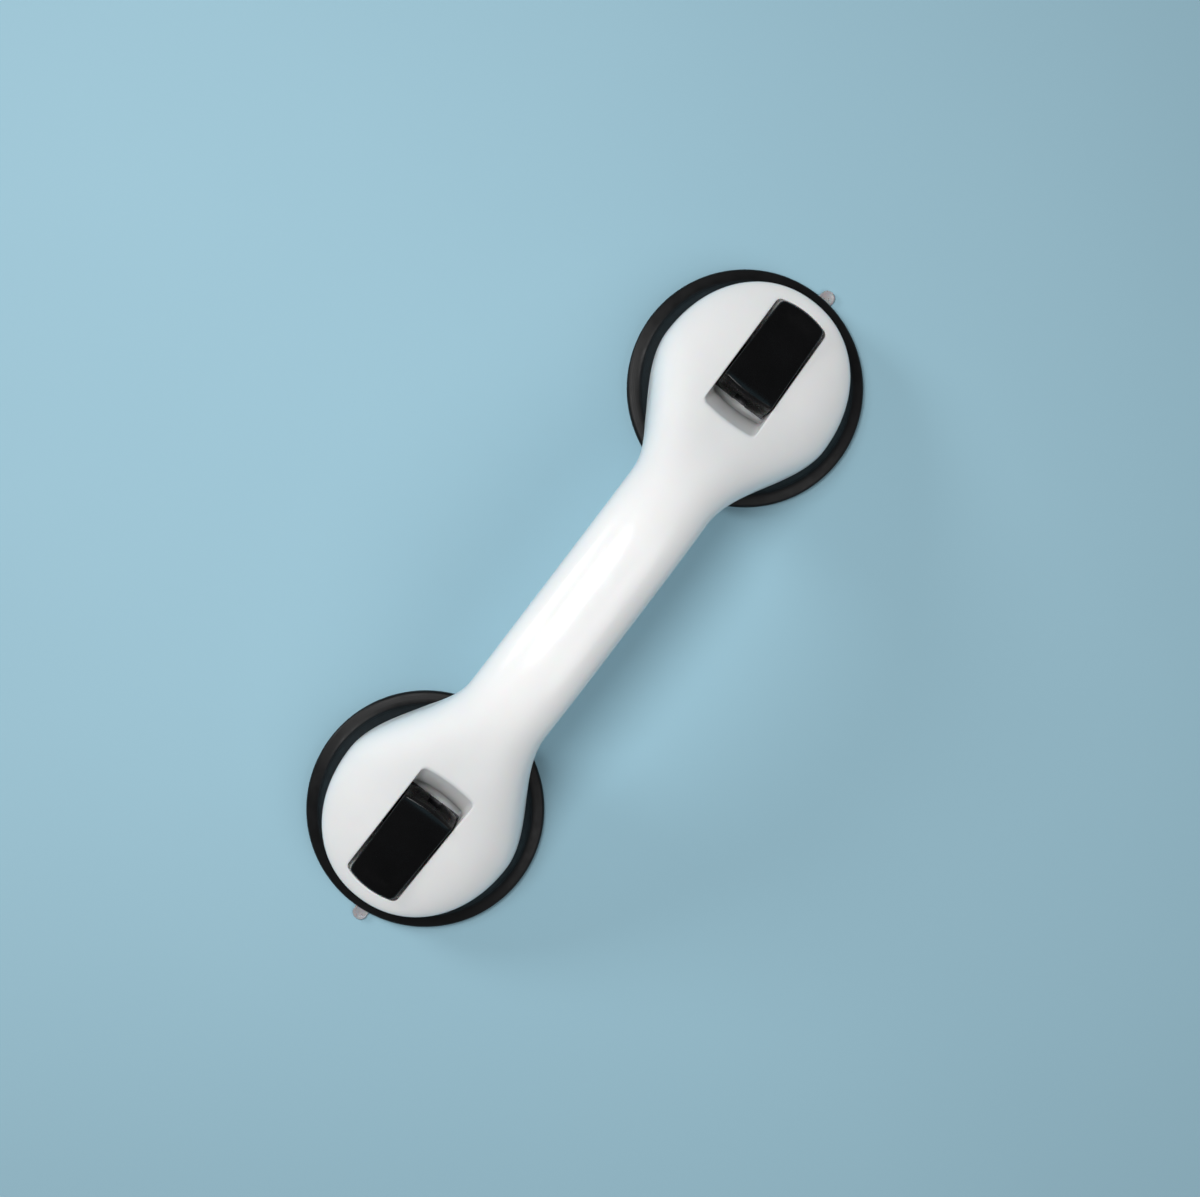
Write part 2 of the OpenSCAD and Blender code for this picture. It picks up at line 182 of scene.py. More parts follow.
def smooth(t):
    t = min(max(t, 0), 1)
    return t * t * (3 - 2 * t)


def line(knots, x):
    """Height at x of a line of cubic curves through knots of (x, z, slope)."""
    if x >= knots[-1][0]:
        return knots[-1][1]
    for (x0, z0, s0), (x1, z1, s1) in zip(knots, knots[1:]):
        if x <= x1:
            d = x1 - x0
            t = (x - x0) / d
            rise = z0 * (1 + 2 * t) * (1 - t) ** 2 + z1 * t * t * (3 - 2 * t)
            return rise + s0 * d * t * (1 - t) ** 2 + s1 * d * t * t * (t - 1)
    return knots[-1][1]


def half_width(x):
    if x <= WIDE_X:
        return mix(BAR_W, PADDLE_W, smooth((x - FLARE_X) / (WIDE_X - FLARE_X))) / 2
    inside = 1 - ((x - WIDE_X) / NOSE) ** OUTLINE_POWER
    return PADDLE_W / 2 * max(0, inside) ** (1 / OUTLINE_POWER)


def edge_share(x, y):
    """0 on the handle's crest, 1 on its outline."""
    if x <= WIDE_X:
        return abs(y) / half_width(x)
    along = ((x - WIDE_X) / NOSE) ** OUTLINE_POWER
    across = (2 * abs(y) / PADDLE_W) ** OUTLINE_POWER
    return (along + across) ** (1 / OUTLINE_POWER)


def crown_power(x):
    return mix(2.3, 3, smooth((x - FLARE_X) / 40))


def belly_power(x):
    return mix(2.3, 8, smooth((x - FLARE_X) / 24))


def crest_z(x, y):
    """Height of the handle's upper skin."""
    edge = line(EDGE_LINE, x)
    power = crown_power(x)
    share = min(1, edge_share(x, y))
    return edge + (line(TOP_LINE, x) - edge) * max(0, 1 - share ** power) ** (1 / power)


def seam_z(x):
    """Height of the parting line between the two shells, which ends at the paddles' skirts."""
    if x <= SEAM_X:
        seam = line(EDGE_LINE, x)
    else:
        knots = [(SEAM_X, line(EDGE_LINE, SEAM_X), -0.5), (PART_END_X, SKIRT_Z - 0.1, -1.5)]
        seam = line(knots, x)
    return seam - SEAM_DROP * (1 - smooth((x - 56) / 10))


def top_at(u):
    """Height of the paddle's top above the pin, at u from the pin."""
    return line(TOP_LINE, CUP_X + u) - PIN_Z


def under_arm(u):
    """Height of the lever's underside above the pin."""
    return top_at(u) - mix(ARM_T, TIP_T, u / ARM_END) + LEVER_PROUD


def arc(cx, cy, r, a0, a1, steps):
    angles = [math.radians(mix(a0, a1, i / steps)) for i in range(steps + 1)]
    return [(cx + r * math.cos(a), cy + r * math.sin(a)) for a in angles]


# ---------------------------------------------------------------- meshes

def add_grid(bm, rows, outward):
    """Faces between rows of points; outward is roughly the way that they face."""
    made = [[bm.verts.new(Vector(p) * MM) for p in row] for row in rows]
    faces = []
    for a, b in zip(made, made[1:]):
        for i in range(len(a) - 1):
            faces.append(bm.faces.new((a[i], a[i + 1], b[i + 1], b[i])))
    bm.normal_update()
    total = sum((f.normal * f.calc_area() for f in faces), Vector())
    if total.dot(Vector(outward)) < 0:
        bmesh.ops.reverse_faces(bm, faces=faces)


def add_lathe(bm, profile, center_x, outward_up=True, steps=ROUND_STEPS):
    """Turns a profile of (r, z) about a cup's axis. Listed from the middle out it faces up."""
    rows = []
    for r, z in profile:
        angles = [2 * math.pi * k / steps for k in range(steps)]
        rows.append([(center_x + r * math.cos(a), r * math.sin(a), z) for a in angles])
    made = [[bm.verts.new(Vector(p) * MM) for p in row] for row in rows]
    for a, b in zip(made, made[1:]):
        for i in range(steps):
            j = (i + 1) % steps
            quad = (a[i], b[i], b[j], a[j]) if outward_up else (a[i], a[j], b[j], b[i])
            bm.faces.new(quad)


def make_piece(name, bm, material, body=None, nodes=(), sharp=40):
    bmesh.ops.remove_doubles(bm, verts=bm.verts, dist=3e-7)
    bmesh.ops.dissolve_degenerate(bm, edges=bm.edges, dist=1e-8)
    mesh = bpy.data.meshes.new(name)
    bm.to_mesh(mesh)
    bm.free()
    mesh.polygons.foreach_set("use_smooth", [True] * len(mesh.polygons))
    mesh.set_sharp_from_angle(angle=math.radians(sharp))
    mesh.materials.append(material)
    piece = bpy.data.objects.new(name, mesh)
    bpy.context.collection.objects.link(piece)
    if body:
        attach(piece, body)
    if nodes:
        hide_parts(*nodes)
    return piece


def mirrored(bm, axes):
    """Copies what is in bm to the other side of the planes x = 0 and y = 0."""
    for axis in axes:
        copy = bmesh.ops.duplicate(bm, geom=bm.verts[:] + bm.edges[:] + bm.faces[:])["geom"]
        for v in (g for g in copy if isinstance(g, bmesh.types.BMVert)):
            v.co[axis] = -v.co[axis]
        faces = [g for g in copy if isinstance(g, bmesh.types.BMFace)]
        bmesh.ops.reverse_faces(bm, faces=faces)


# ---------------------------------------------------------------- materials

def new_material(name, **constants):
    material = bpy.data.materials.new(name)
    material.use_nodes = True
    shader = material.node_tree.nodes["Principled BSDF"]
    for socket, value in constants.items():
        shader.inputs[socket.replace("_", " ")].default_value = value
    return material, material.node_tree, shader


def add_node(tree, kind, inputs=None, **settings):
    node = tree.nodes.new(kind)
    for key, value in settings.items():
        setattr(node, key, value)
    for socket, value in (inputs or {}).items():
        if isinstance(value, bpy.types.NodeSocket):
            tree.links.new(value, node.inputs[socket])
        else:
            node.inputs[socket].default_value = value
    return node


def noise(tree, coords, scale, detail=3, roughness=0.5):
    inputs = {"Vector": coords, "Scale": scale, "Detail": detail, "Roughness": roughness}
    return add_node(tree, "ShaderNodeTexNoise", inputs).outputs["Fac"]


def ramp(tree, value, low, high, from_low=0.35, from_high=0.65):
    """Maps a value between two numbers."""
    inputs = {"Value": value, "From Min": from_low, "From Max": from_high, "To Min": low, "To Max": high}
    return add_node(tree, "ShaderNodeMapRange", inputs).outputs["Result"]


def color_between(tree, value, dark, light):
    node = add_node(tree, "ShaderNodeMix", data_type="RGBA")
    tree.links.new(value, node.inputs["Factor"])
    node.inputs[6].default_value = (*dark, 1)
    node.inputs[7].default_value = (*light, 1)
    return node.outputs[2]


def bump(tree, height, distance, strength=1.0, normal=None):
    inputs = {"Height": height, "Distance": distance, "Strength": strength}
    if normal:
        inputs["Normal"] = normal
    return add_node(tree, "ShaderNodeBump", inputs).outputs["Normal"]


def object_coords(tree):
    return add_node(tree, "ShaderNodeTexCoord").outputs["Object"]


def white_abs():
    """Gloss moulded ABS: faint flow marks in the gloss, a slight waviness, a little light let in."""
    material, tree, shader = new_material(
        "white_abs", Subsurface_Weight=0.12, Subsurface_Scale=0.004, Specular_IOR_Level=0.5, IOR=1.52
    )
    coords = object_coords(tree)
    clouds = noise(tree, coords, 22, 4)
    flow = noise(tree, coords, 160, 3)
    peel = noise(tree, coords, 420, 2)
    tint = color_between(tree, ramp(tree, clouds, 0, 1), (0.845, 0.848, 0.846), (0.88, 0.882, 0.878))
    tree.links.new(tint, shader.inputs["Base Color"])
    tree.links.new(ramp(tree, flow, 0.19, 0.27), shader.inputs["Roughness"])
    wave = bump(tree, clouds, 0.0004, 0.12)
    tree.links.new(bump(tree, peel, 0.00003, 0.35, wave), shader.inputs["Normal"])
    return material


def black_abs():
    """Semi-gloss black ABS with a fine spark-eroded grain and handling marks."""
    material, tree, shader = new_material("black_abs", Specular_IOR_Level=0.2, IOR=1.5)
    coords = object_coords(tree)
    clouds = noise(tree, coords, 60, 4)
    marks = noise(tree, coords, 500, 5, 0.6)
    grain = noise(tree, coords, 3200, 2)
    tint = color_between(tree, ramp(tree, clouds, 0, 1), (0.0018, 0.0018, 0.002), (0.0032, 0.0032, 0.0035))
    tree.links.new(tint, shader.inputs["Base Color"])
    tree.links.new(ramp(tree, marks, 0.24, 0.33), shader.inputs["Roughness"])
    wave = bump(tree, clouds, 0.0002, 0.06)
    tree.links.new(bump(tree, grain, 0.00002, 0.5, wave), shader.inputs["Normal"])
    return material


def satin_black():
    """Hard black dish: satin, with the fine rings that its turned mould leaves."""
    material, tree, shader = new_material("satin_black", Specular_IOR_Level=0.25, IOR=1.5)
    coords = object_coords(tree)
    # Distance from the nearer cup's axis
    split = add_node(tree, "ShaderNodeSeparateXYZ", {"Vector": coords})
    size = add_node(tree, "ShaderNodeMath", {0: split.outputs["X"]}, operation="ABSOLUTE")
    along = add_node(tree, "ShaderNodeMath", {0: size.outputs[0], 1: CUP_X * MM}, operation="SUBTRACT")
    flat = add_node(tree, "ShaderNodeCombineXYZ", {"X": along.outputs[0], "Y": split.outputs["Y"]})
    radius = add_node(tree, "ShaderNodeVectorMath", {0: flat.outputs[0]}, operation="LENGTH")
    turns = add_node(tree, "ShaderNodeMath", {0: radius.outputs["Value"], 1: 9000.0}, operation="MULTIPLY")
    rings = add_node(tree, "ShaderNodeMath", {0: turns.outputs[0]}, operation="SINE")
    clouds = noise(tree, coords, 45, 4)
    grain = noise(tree, coords, 2600, 2)
    tint = color_between(tree, ramp(tree, clouds, 0, 1), (0.003, 0.003, 0.0033), (0.006, 0.006, 0.0064))
    tree.links.new(tint, shader.inputs["Base Color"])
    tree.links.new(ramp(tree, noise(tree, coords, 300, 4), 0.36, 0.48), shader.inputs["Roughness"])
    lathe = bump(tree, rings.outputs[0], 0.000006, 0.5)
    tree.links.new(bump(tree, grain, 0.00002, 0.4, lathe), shader.inputs["Normal"])
    return material


def soft_clear():
    """Soft clear plastic, cloudy, with a grey-pink cast where it is thick."""
    material, tree, shader = new_material(
        "soft_clear", Transmission_Weight=0.5, IOR=1.46, Specular_IOR_Level=0.45, Subsurface_Weight=0.2,
        Subsurface_Scale=0.003,
    )
    coords = object_coords(tree)
    clouds = noise(tree, coords, 70, 4)
    fine = noise(tree, coords, 900, 3)
    tint = color_between(tree, ramp(tree, clouds, 0, 1), (0.56, 0.54, 0.55), (0.66, 0.64, 0.65))
    tree.links.new(tint, shader.inputs["Base Color"])
    tree.links.new(ramp(tree, fine, 0.26, 0.40), shader.inputs["Roughness"])
    tree.links.new(bump(tree, clouds, 0.0001, 0.2), shader.inputs["Normal"])
    return material


def steel(name, dark, light, low, high, stretch):
    """Plated or blackened steel; stretch draws the grain out along X."""
    material, tree, shader = new_material(name, Metallic=1.0)
    coords = object_coords(tree)
    drawn = add_node(tree, "ShaderNodeMapping", {"Vector": coords, "Scale": (1 / stretch, 1, 1)})
    clouds = noise(tree, drawn.outputs[0], 260, 4)
    fine = noise(tree, drawn.outputs[0], 2400, 3, 0.6)
    tint = color_between(tree, ramp(tree, clouds, 0, 1), dark, light)
    tree.links.new(tint, shader.inputs["Base Color"])
    tree.links.new(ramp(tree, fine, low, high), shader.inputs["Roughness"])
    tree.links.new(bump(tree, fine, 0.00001, 0.5), shader.inputs["Normal"])
    return material


def natural_nylon():
    material, tree, shader = new_material("natural_nylon", Subsurface_Weight=0.3, Subsurface_Scale=0.003)
    coords = object_coords(tree)
    clouds = noise(tree, coords, 120, 4)
    tint = color_between(tree, ramp(tree, clouds, 0, 1), (0.70, 0.66, 0.56), (0.80, 0.77, 0.68))
    tree.links.new(tint, shader.inputs["Base Color"])
    tree.links.new(ramp(tree, noise(tree, coords, 700, 3), 0.42, 0.55), shader.inputs["Roughness"])
    tree.links.new(bump(tree, clouds, 0.0001, 0.3), shader.inputs["Normal"])
    return material


WHITE = white_abs()
BLACK = black_abs()
SATIN = satin_black()
CLEAR = soft_clear()
ZINC = steel("zinc_plate", (0.62, 0.62, 0.60), (0.74, 0.73, 0.69), 0.24, 0.38, 1)
BLACKED = steel("black_oxide", (0.045, 0.045, 0.05), (0.075, 0.075, 0.08), 0.3, 0.45, 12)
NYLON = natural_nylon()


# ---------------------------------------------------------------- handle

JUNCTION_X = FLARE_X + 4
JUNCTION_STEPS = END_STEPS + CORNER_STEPS


def pocket_ring(x_in, x_out, half_w, r):
    """Half of the pocket's outline seen from above, from its inner end to its outer end.

    Both ends are bowed, and the outer one follows the lever's tip.
    """
    def inner(y):
        return x_in + POCKET_BOW * (y / half_w) ** 2

    def outer(y):
        return x_out - y * y / (2 * END_ARC_R)

    start = inner(half_w - r) + r
    lean = math.degrees(math.atan((half_w - r) / END_ARC_R))
    last_y = half_w - r * (1 - math.sin(math.radians(lean)))
    stop = outer(last_y) - r * math.cos(math.radians(lean))
    ring = [(inner(y), y) for y in ((half_w - r) * i / END_STEPS for i in range(END_STEPS))]
    ring += arc(start, half_w - r, r, 180, 90, CORNER_STEPS)[:-1]
    marks = [start, CUP_X + POCKET_IN + POCKET_COVE + r + 1, CUP_X + HUB_FLOOR_OUT, stop]
    for a, b, n in zip(marks, marks[1:], SIDE_STEPS):
        ring += [(mix(a, b, i / n), half_w) for i in range(n)]
    ring += arc(stop, half_w - r, r, 90, lean, CORNER_STEPS)[:-1]
    ring += [(outer(y), y) for y in (last_y * (1 - i / END_STEPS) for i in range(END_STEPS + 1))]
    return ring


def outline_at(p):
    """Point of the paddle's outline: p from 0 to 1 up to its widest place, then to 2 at its outer end."""
    if p <= 1:
        x = mix(JUNCTION_X, WIDE_X, p)
        return x, half_width(x)
    a = math.radians(90 * (p - 1))
    power = 2 / OUTLINE_POWER
    return WIDE_X + NOSE * math.sin(a) ** power, PADDLE_W / 2 * max(0, math.cos(a)) ** power


def outline_places(steps):
    """Values of p for outline_at that divide the outline evenly."""
    dense = 600
    places = [2 * i / dense for i in range(dense + 1)]
    points = [outline_at(p) for p in places]
    run = [0]
    for a, b in zip(points, points[1:]):
        run.append(run[-1] + math.dist(a, b))
    even = []
    k = 0
    for i in range(steps + 1):
        want = run[-1] * i / steps
        while k < dense - 1 and run[k + 1] < want:
            k += 1
        even.append(mix(places[k], places[k + 1], (want - run[k]) / (run[k + 1] - run[k])))
    even[-1] = 2
    return even


def bar_row(x):
    """Upper skin of the bar at x, from its crest to its edge."""
    row = []
    for i in range(JUNCTION_STEPS + 1):
        y = half_width(x) * math.sin(math.radians(90 * i / JUNCTION_STEPS))
        row.append((x, y, crest_z(x, y)))
    return row


def pocket_inner_wall():
    """Inner end of a pocket from its rim down, as (u from the pin, z): a slope and a tall cove."""
    rim_z = crest_z(CUP_X + POCKET_END, 0) - SCOOP_ROUND * (1 - math.cos(math.radians(SCOOP_TURN)))
    path = []
    for i in range(1, 9):
        up = 1 - i / 8
        path.append((mix(POCKET_IN, POCKET_END, up ** 1.2), mix(PIN_Z, rim_z, up)))
    for b in range(10, 100, 10):
        b = math.radians(b)
        path.append((POCKET_IN + POCKET_COVE * (1 - math.cos(b)), mix(PIN_Z, FLOOR_Z, math.sin(b))))
    return path


def paddle_rows():
    """Upper skin of a paddle from its outline to the pocket, then down the pocket's walls."""
    rim_in = CUP_X + POCKET_END
    rim_out = CUP_X + POCKET_OUT
    half_w = POCKET_W / 2

    def ring(off_in, off_side, shift=0):
        ends = rim_in - off_in + shift, rim_out + off_side
        return pocket_ring(*ends, half_w + off_side, POCKET_CORNER + off_side)

    def inner_share(i):
        """1 at the pocket's inner end, 0 along its sides."""
        return 1 - smooth((i - JUNCTION_STEPS) / SIDE_STEPS[0])

    rim = ring(SCOOP_ROUND, RIM_ROUND)
    places = outline_places(len(rim) - 1 - JUNCTION_STEPS)
    outer = [p[:2] for p in bar_row(JUNCTION_X)] + [outline_at(p) for p in places[1:]]
    rows = []
    for k in range(RINGS + 1):
        t = 1 - k / RINGS
        row = []
        for i, (r, o) in enumerate(zip(rim, outer)):
            g = 1 - (1 - t) ** (1 + 2 * smooth(i / JUNCTION_STEPS))
            x, y = mix(r[0], o[0], g), mix(r[1], o[1], g)
            row.append((x, y, crest_z(x, y)))
        rows.append(row)
    for k in range(1, 6):
        a = math.radians(90 * k / 5)
        b = math.radians(SCOOP_TURN * k / 5)
        off_in = SCOOP_ROUND * (1 - math.sin(b) / math.sin(math.radians(SCOOP_TURN)))
        row = []
        for i, (x, y) in enumerate(ring(off_in, RIM_ROUND * (1 - math.sin(a)))):
            drop = mix(RIM_ROUND * (1 - math.cos(a)), SCOOP_ROUND * (1 - math.cos(b)), inner_share(i))
            row.append((x, y, crest_z(x, y) - drop))
        rows.append(row)
    rim_row = rows[-1]
    path = pocket_inner_wall()
    for k, (u, z_in) in enumerate(path):
        row = []
        for i, (x, y) in enumerate(ring(0, 0, u - POCKET_END)):
            side_depth = (k + 1) / len(path)
            inner_depth = (rim_row[0][2] - z_in) / (rim_row[0][2] - FLOOR_Z)
            row.append((x, y, mix(rim_row[i][2], FLOOR_Z, mix(side_depth, inner_depth, inner_share(i)))))
        rows.append(row)
    return rows


def floor_rows():
    """Floor under the lever's arm, across from the middle to the wall."""
    us = [mix(HUB_FLOOR_OUT, POCKET_OUT + 0.2, i / 16) for i in range(17)]
    half_w = POCKET_W / 2
    return [[(CUP_X + u, half_w * j / 4, FLOOR_Z) for j in range(5)] for u in us]


def hub_floor_rows():
    """Flat floor under the hub, from the pocket's wall to the hole that the stud comes through."""
    u_in = POCKET_IN + POCKET_COVE
    half_w = POCKET_W / 2
    edge = [(u_in, half_w * i / 6) for i in range(6)]
    edge += [(mix(u_in, HUB_FLOOR_OUT, i / 12), half_w) for i in range(12)]
    edge += [(HUB_FLOOR_OUT, half_w * (1 - i / 6)) for i in range(7)]
    hole = arc(0, 0, STUD_HOLE_R, 180, 0, len(edge) - 1)
    rows = []
    for k in range(7):
        share = k / 6
        plan = [(mix(e[0], h[0], share), mix(e[1], h[1], share)) for e, h in zip(edge, hole)]
        rows.append([(CUP_X + u, y, FLOOR_Z) for u, y in plan])
    rows.append([(x, y, PLATE_Z + PLATE_T) for x, y, z in rows[-1]])
    return rows


def plan_normal(x, y):
    """Which way the handle's outline faces, seen from above."""
    if x <= WIDE_X:
        slope = (half_width(x + 0.05) - half_width(x - 0.05)) / 0.1
        return Vector((-slope, 1)).normalized()
    along = ((x - WIDE_X) / NOSE) ** (OUTLINE_POWER - 1) / NOSE
    across = (2 * y / PADDLE_W) ** (OUTLINE_POWER - 1) * 2 / PADDLE_W
    return Vector((along, across)).normalized()


def skirt_column(x, y):
    """Side of the top shell from its widest level down to its lower edge, which rolls in."""
    edge = line(EDGE_LINE, x)
    down = edge - line(UNDER_LINE, x)
    power = belly_power(x)
    stop = max(seam_z(x) + SEAM_GAP / 2, SKIRT_Z + 0.1)
    n = plan_normal(x, y)
    column = []
    for i in range(9):
        z = mix(edge, stop + EDGE_ROLL, i / 8)
        f = max(0, 1 - ((edge - z) / down) ** power) ** (1 / power) if z < edge else 1
        px = WIDE_X + (x - WIDE_X) * f if x > WIDE_X else x
        column.append((px, y * f, z))
    px, py, pz = column[-1]

    def inward(d, z):
        return (px - n.x * d, max(0, py - n.y * d) if y < 1 else py - n.y * d, z)

    for a in (30, 60, 90):
        a = math.radians(a)
        column.append(inward(EDGE_ROLL * (1 - math.cos(a)), pz - EDGE_ROLL * math.sin(a)))
    column.append(inward(LIP_W - EDGE_ROLL, pz - EDGE_ROLL))
    column.append(inward(LIP_W, pz))
    column.append(inward(LIP_W, pz + LIP_H))
    return column


def top_shell():
    bm = bmesh.new()
    xs = [JUNCTION_X * i / BAR_STEPS for i in range(BAR_STEPS + 1)]
    add_grid(bm, [bar_row(x) for x in xs], (0, 0, 1))
    add_grid(bm, paddle_rows(), (0, 0, 1))
    add_grid(bm, floor_rows(), (0, 0, 1))
    add_grid(bm, hub_floor_rows(), (0, 0, 1))
    count = len(pocket_ring(0, 60, 10, 1)) - 1 - JUNCTION_STEPS
    edge = [(x, half_width(x)) for x in xs[:-1]] + [outline_at(p) for p in outline_places(count)]
    columns = [skirt_column(x, y) for x, y in edge]
    outer = [column[:9] for column in columns]
    add_grid(bm, outer, (0.4, 1, 0))
    add_grid(bm, [column[8:13] for column in columns], (0, 0, -1))
    add_grid(bm, [column[12:] for column in columns], (-0.4, -1, 0))
    mirrored(bm, (0, 1))
    return make_piece("top_shell_skin", bm, WHITE, "handle", ["top_shell"])


def belly_column(x):
    """Underside of the bottom shell at x, from its rolled upper edge to the middle."""
    edge = line(EDGE_LINE, x)
    down = edge - line(UNDER_LINE, x)
    power = belly_power(x)
    start = seam_z(x) - SEAM_GAP / 2
    w = half_width(x)
    first = math.asin(min(1, ((edge - start + EDGE_ROLL) / down) ** (power / 2)))
    skin = []
    for i in range(33):
        a = mix(first, math.pi / 2, i / 32)
        y = w * max(0, math.cos(a)) ** (2 / power) if i < 32 else 0
        skin.append((x, y, edge - down * math.sin(a) ** (2 / power)))
    top_y, top_z = skin[0][1:]
    roll = [(x, top_y - LIP_W, top_z + EDGE_ROLL)]
    for a in (90, 60, 30):
        a = math.radians(a)
        roll.append((x, top_y - EDGE_ROLL * (1 - math.cos(a)), top_z + EDGE_ROLL * math.sin(a)))
    return roll + skin


def bottom_shell():
    bm = bmesh.new()
    reach = PART_END_X - 1.2
    steps = BAR_STEPS * 2
    add_grid(bm, [belly_column(reach * i / steps) for i in range(steps + 1)], (0, 0, -1))
    inset = LIP_W + 0.3
    places = [p for p in outline_places(90) if outline_at(p)[0] > CUP_X - 37]
    rim = []
    for p in places:
        x, y = outline_at(p)
        n = plan_normal(x, y)
        rim.append((x - n.x * inset, max(0, y - n.y * inset)))
    rim = [(rim[0][0], rim[0][1] * i / 8) for i in range(8)] + rim
    hole = [(CUP_X + x, y) for x, y in arc(0, 0, GUIDE_HOLE_R, 180, 0, len(rim) - 1)]
    for z, way in ((PLATE_Z, -1), (PLATE_Z + PLATE_T, 1)):
        plate = []
        for j in range(9):
            plate.append([(mix(r[0], h[0], j / 8), mix(r[1], h[1], j / 8), z) for r, h in zip(rim, hole)])
        add_grid(bm, plate, (0, 0, way))
    add_grid(bm, [[(x, y, PLATE_Z), (x, y, PLATE_Z + PLATE_T)] for x, y in rim], (0.4, 1, 0))
    add_grid(bm, [[(x, y, PLATE_Z), (x, y, PLATE_Z + PLATE_T)] for x, y in hole], (0, -1, 0))
    mirrored(bm, (0, 1))
    return make_piece("bottom_shell_skin", bm, WHITE, "handle", ["bottom_shell"])


top_shell()
bottom_shell()


# ---------------------------------------------------------------- suction cups

def dish_profile():
    """Section of a dish from its upper middle round its flange to its under middle."""
    rim = PAD_T
    top = PLATE_Z
    outside = [(GUIDE_R, top), (20, top), (DISH_R - 18, top)]
    outside += arc(DISH_R - 14.8, rim + 5.8, 6.7, 84, 40, 8)
    outside += [(DISH_R - 8.6, rim + 8.6)]
    outside += arc(DISH_R - 3.2, rim + 5.9, 2.4, 190, 255, 6)
    outside += [(DISH_R - 3.2, rim + 3.25)]
    outside += arc(DISH_R - 1.5, rim + 1.4, 1.5, 75, 0, 6)
    outside += [(DISH_R, rim + 0.6)]
    outside += arc(DISH_R - 0.5, rim + 0.5, 0.5, 0, -90, 4)
    under = [(37.5, rim), (DISH_R - 10.2, rim + 4), (DISH_R - 12.8, top - 4), (DISH_R - 17.5, top - DISH_T),
             (GUIDE_R, top - DISH_T)]
    return outside, under


def dish(side):
    bm = bmesh.new()
    center = SIDES[side] * CUP_X
    outside, under = dish_profile()
    add_lathe(bm, outside, center)
    add_lathe(bm, [outside[-1]] + under, center)
    add_lathe(bm, [(GUIDE_BORE, GUIDE_TOP), (GUIDE_R, GUIDE_TOP), (GUIDE_R, PLATE_Z)], center)
    add_lathe(bm, [(GUIDE_R, PLATE_Z - DISH_T), (GUIDE_R, GUIDE_LOW), (GUIDE_BORE, GUIDE_LOW)], center)
    add_lathe(bm, [(GUIDE_BORE, GUIDE_LOW), (GUIDE_BORE, GUIDE_TOP)], center)
    return make_piece(f"{side}_dish_turned", bm, SATIN, "handle", [f"{side}_dish"], sharp=50)


def pad_sections():
    """The pad's sealing face and its back, as profiles from the middle out."""
    lift = core_low.z - PAD_UNDER_CORE
    crown = core_high.z - PAD_OVER_CORE
    face = [(0, lift), (9, lift), (17.5, lift)]
    face += [(mix(18, SEAL_R, i / 16), lift * (1 - smooth(i / 16))) for i in range(1, 17)]
    for r in (40.5, 43.2):
        face += [(r - 0.7, 0), (r - 0.35, 0.3), (r, 0.42), (r + 0.35, 0.3), (r + 0.7, 0)]
    face += [(PAD_R - 0.7, 0)]
    face += arc(PAD_R - 0.6, 0.6, 0.6, -90, 0, 4)
    back = [(7.6, crown), (12, crown), (18.5, crown)]
    back += [(mix(19, 36.5, i / 16), mix(crown, PAD_T, smooth(i / 16))) for i in range(1, 17)]
    back += [(PAD_R - 0.8, PAD_T)]
    back += arc(PAD_R - 0.6, PAD_T - 0.6, 0.6, 90, 0, 4)
    back += [(PAD_R, 0.6)]
    return face, back


def pull_tab(bm, side):
    """Round-ended tab at the pad's rim, with a bead round its edge."""
    half = TAB_W / 2
    first, last = PAD_R - 1.5, DISH_R + TAB_OUT - half
    turn = math.radians(-TAB_ANGLE)

    def outline(inset):
        r = half - inset
        side_x = [mix(first, last, i / 6) for i in range(6)]
        return [(x, r) for x in side_x] + arc(last, 0, r, 90, -90, 16) + [(x, -r) for x in side_x[::-1]]

    rows = []
    upper = [(half, 1.45), (1.3, 1.45), (0.95, 1.55), (0.65, 1.8), (0.35, 1.85), (0.1, 1.65), (0, 1.3)]
    lower = [(0, 0.95), (0.2, 0.6), (0.6, 0.5), (half, 0.5)]
    for inset, z in upper + lower:
        row = []
        for x, y in outline(inset):
            along = x * math.cos(turn) - y * math.sin(turn)
            row.append((SIDES[side] * (CUP_X + along), x * math.sin(turn) + y * math.cos(turn), z))
        rows.append(row)
    add_grid(bm, rows, (SIDES[side], 0, 0))


def pad(side):
    center = SIDES[side] * CUP_X
    face, back = pad_sections()
    bm = bmesh.new()
    add_lathe(bm, face, center, outward_up=False)
    sealing = make_piece(f"{side}_pad_face", bm, CLEAR, None, [f"{side}_pad"], sharp=60)
    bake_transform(sealing)
    bm = bmesh.new()
    add_lathe(bm, back, center)
    pull_tab(bm, side)
    rear = make_piece(f"{side}_pad_back", bm, CLEAR, None, [f"{side}_pad"], sharp=60)
    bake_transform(rear)


for side in SIDES:
    dish(side)
    pad(side)


# ---------------------------------------------------------------- levers

def thumb_share(u, y):
    """1 in the middle of the hollow for the thumb, 0 outside it."""
    return smooth((u - 10) / 9) * smooth((ARM_END - 2 - u) / 6) * (1 - smooth((abs(y) - 3) / 7))


def lever_top(u, y=0):
    return top_at(u) + LEVER_PROUD - THUMB_DIP * thumb_share(u, y)


def cam_curve():
    """Involute cam under the hub, in (u, z), from the flat that the lever stands open on."""
    points = []
    for i in range(26):
        a = math.radians(LEVER_OPEN * (1 - i / 25))
        h = CAM_H - LIFT_RATE * a
        u = LIFT_RATE * math.cos(a) - h * math.sin(a)
        points.append((u, -h * math.cos(a) - LIFT_RATE * math.sin(a)))
    return points


# From the cam along the heel under the hub to the underside of the tip
UNDERSIDE = cam_curve() + [
    (LIFT_RATE + 1.2, -CAM_H + 0.05),
    (5.5, -CAM_H + 1.2),
    (9.5, under_arm(12) - 1.5),
    (12, under_arm(12)),
    (ARM_END - TIP_UNDERCUT, lever_top(ARM_END) - TIP_T),
]


